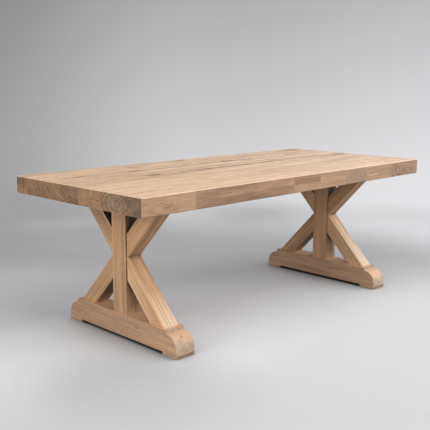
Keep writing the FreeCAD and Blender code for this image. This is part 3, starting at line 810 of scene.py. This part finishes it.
# Painted shade: the floor is darker near the table, and darkest where it is all but covered, as a painted
# contact shadow
SHADE = srgb(100, 99, 99)
SHADE_SHARE = 0.5
SHADE_RANGE = (1, 0.5)
PAINTED_CONTACT_SHADOW = srgb(30, 29, 29)
CONTACT_REACH = 0.1
CONTACT_RANGE = (0.7, 0.15)

# Painted light: the backdrop gets brighter from left to right in two rises, and darker upwards
WALL_LEVEL = 0.355
LEFT_RISE = (-0.55, -0.05)
RIGHT_RISE = (-0.05, 0.5)
WALL_RISES = {"left": 0.295, "right": 0.125}
WALL_BLUE = 1.02
WALL_FADE = 0.13
# Painted shadow and painted light on the backdrop, where it is darker or lighter than that: middle, scale
# and how many times as bright
PAINTED_WALL_POOLS = [
    ((2.2, 1.75, 0), (0.9, 0.9, 0), 0.7),
    ((0.6, 2.55, 0), (1.5, 1.5, 0), 1.2),
    ((3.0, 0.8, 0), (1.0, 1.0, 0), 0.87),
]


def pool_distance(shade, place, middle, scale):
    """How far a place lies from the middle of a pool, where 1 is the pool's edge."""
    return shade.vector("LENGTH", shade.vector("MULTIPLY", shade.vector("SUBTRACT", place, middle), scale))


def floor_colour(shade, place, openness):
    """Tones of the floor from near to far, its painted pools of light and shadow, and painted shade close to
    the table.
    """
    away = shade.vector("DOT_PRODUCT", place, VIEW_AWAY)
    ground = shade.mix(shade.step(away, *NEAR_TO_MID), NEAR_FLOOR, MID_FLOOR)
    ground = shade.mix(shade.step(away, *MID_TO_FAR), ground, FAR_FLOOR)
    # Painted pools of light and shadow
    for middle, scale, colour in PAINTED_FLOOR_POOLS:
        outside = shade.step(pool_distance(shade, place, middle, scale), *FLOOR_POOL_RANGE)
        ground = shade.mix(outside, colour, ground)
    # Painted contact shadow where the floor is all but covered, then painted shade near the table
    covered = shade.step(shade.openness(CONTACT_REACH), *CONTACT_RANGE)
    ground = shade.mix(covered, ground, PAINTED_CONTACT_SHADOW)
    near = shade.math("MULTIPLY", shade.step(openness, *SHADE_RANGE), SHADE_SHARE)
    return shade.mix(near, ground, SHADE)


def wall_light(shade, place, reach):
    """The backdrop's glow, with painted light that makes it brighter to the right and lower down."""
    aside = shade.math("DIVIDE", shade.vector("DOT_PRODUCT", place, VIEW_SIDE), reach)
    rises = {"left": shade.step(aside, *LEFT_RISE), "right": shade.step(aside, *RIGHT_RISE)}
    level = shade.math("ADD", shade.weigh(rises, WALL_RISES), WALL_LEVEL)
    fade = shade.math("MULTIPLY_ADD", shade.split(place)[2], -WALL_FADE, 1)
    # Painted shadow and painted light in pools on the backdrop
    for middle, scale, factor in PAINTED_WALL_POOLS:
        outside = shade.step(pool_distance(shade, place, middle, scale), 0, 1)
        fade = shade.math("MULTIPLY", fade, shade.fit(outside, factor, 1))
    level = shade.math("MULTIPLY", level, fade)
    colour = shade.join(level, level, shade.math("MULTIPLY", level, WALL_BLUE))
    return shade.add("ShaderNodeEmission", {"Color": colour}).outputs[0]


def stage_material():
    """A pale floor that takes shadows and has painted light and shade, and a glowing backdrop with painted
    light beyond it.
    """
    material, shade, floor = new_material("pale_floor")
    place = shade.place()
    rays = shade.add("ShaderNodeLightPath").outputs
    seen = shade.math("MAXIMUM", rays["Is Camera Ray"], rays["Is Glossy Ray"])
    seen = shade.math("MAXIMUM", seen, rays["Is Transmission Ray"])
    reach = shade.vector("LENGTH", shade.vector("MULTIPLY", place, (1, 1, 0)))
    openness = shade.openness(GLOW_REACH)
    ground = floor_colour(shade, place, openness)
    shade.feed(floor.inputs["Base Color"], shade.mix(seen, BOUNCE, ground))
    floor.inputs["Roughness"].default_value = FLOOR_ROUGHNESS
    floor.inputs["Specular IOR Level"].default_value = FLOOR_SPECULAR

    share = shade.math("MULTIPLY", shade.step(openness, *GLOW_RANGE), GLOW_SHARE)
    share = shade.math("MULTIPLY", seen, share)
    glow = shade.add("ShaderNodeEmission", {"Color": GLOW}).outputs[0]
    soft = shade.add("ShaderNodeMixShader", {0: share, 1: floor.outputs[0], 2: glow}).outputs[0]
    factor = shade.math("MULTIPLY", seen, shade.step(reach, *FLOOR_TO_WALL))
    wall = wall_light(shade, place, reach)
    whole = shade.add("ShaderNodeMixShader", {0: factor, 1: soft, 2: wall}).outputs[0]
    shade.feed(material.node_tree.nodes["Material Output"].inputs["Surface"], whole)
    return material


def make_studio():
    """A pale floor that turns up into a round wall, so that every view has the same backdrop."""
    profile = [Vector((0, 0, 0)), Vector((FLOOR_RADIUS / 2, 0, 0))]
    for step in range(COVE_STEPS + 1):
        angle = math.pi / 2 * step / COVE_STEPS
        out = FLOOR_RADIUS + COVE_RADIUS * math.sin(angle)
        profile.append(Vector((out, 0, COVE_RADIUS * (1 - math.cos(angle)))))
    profile.append(Vector((FLOOR_RADIUS + COVE_RADIUS, 0, WALL_HEIGHT)))
    mesh = bmesh.new()
    points = [mesh.verts.new(point) for point in profile]
    edges = [mesh.edges.new(pair) for pair in zip(points, points[1:])]
    bmesh.ops.spin(
        mesh, geom=points + edges, axis=(0, 0, 1), cent=(0, 0, 0), steps=SWEEP_STEPS, angle=2 * math.pi
    )
    bmesh.ops.remove_doubles(mesh, verts=mesh.verts, dist=MERGE_DISTANCE)
    bmesh.ops.recalc_face_normals(mesh, faces=mesh.faces)
    for face in mesh.faces:
        face.smooth = True
    data = bpy.data.meshes.new("studio")
    mesh.to_mesh(data)
    mesh.free()
    studio = bpy.data.objects.new("studio", data)
    bpy.context.collection.objects.link(studio)
    data.materials.append(stage_material())


# Lamps: name, place, target, size in metres and power in watts
LAMPS = [
    ("overhead", (0.1, -1.2, 3.8), (0.1, 0, 0.4), (4.5, 3.0), 134),
    ("front", (1.8, -4.5, 2.8), (0.3, -0.2, 0.5), (5.4, 2.6), 98),
    ("front_left", (-3.6, -4.5, 2.5), (0, 0, 0.4), (4.0, 2.8), 86),
    ("left", (-5.0, 0.2, 1.5), (-0.3, 0, 0.4), (3.0, 2.4), 120),
    ("right", (4.5, -2.0, 2.4), (0.3, 0, 0.5), (3.4, 2.6), 114),
]
AIR_COLOUR = (0.8, 0.8, 0.82, 1)
AIR_STRENGTH = 0.02


def area_light(name, location, target, size, power):
    data = bpy.data.lights.new(name, "AREA")
    data.shape = "RECTANGLE"
    data.size, data.size_y = size
    data.energy = power
    light = bpy.data.objects.new(name, data)
    light.location = location
    light.rotation_euler = (Vector(target) - Vector(location)).to_track_quat("-Z", "Y").to_euler()
    light.visible_camera = False
    bpy.context.collection.objects.link(light)


def make_lights():
    for lamp in LAMPS:
        area_light(*lamp)
    world = bpy.data.worlds.new("studio_air")
    bpy.context.scene.world = world
    world.use_nodes = True
    air = world.node_tree.nodes["Background"].inputs
    air["Color"].default_value = AIR_COLOUR
    air["Strength"].default_value = AIR_STRENGTH


# Camera, fitted to the corners of the top and the feet in the photograph

CAMERA_PLACE = (-2.899, -2.715, 1.241)
CAMERA_YAW = math.radians(45.04)
CAMERA_PITCH = math.radians(-10.5)
CAMERA_ROLL = math.radians(0.174)
CAMERA_LENS = 60.0
CAMERA_SENSOR = 36


def make_camera():
    data = bpy.data.cameras.new("camera")
    data.sensor_width = CAMERA_SENSOR
    data.lens = CAMERA_LENS
    camera = bpy.data.objects.new("camera", data)
    heading = Matrix.Rotation(-CAMERA_YAW, 4, "Z")
    level = Matrix.Rotation(math.pi / 2 + CAMERA_PITCH, 4, "X")
    roll = Matrix.Rotation(CAMERA_ROLL, 4, "Z")
    camera.matrix_world = Matrix.Translation(CAMERA_PLACE) @ heading @ level @ roll
    bpy.context.collection.objects.link(camera)
    bpy.context.scene.camera = camera


dress_planks()
dress_staves()
dress_trestles()
dress_steel()
make_studio()
make_lights()
make_camera()
bpy.context.scene.view_settings.view_transform = "Standard"
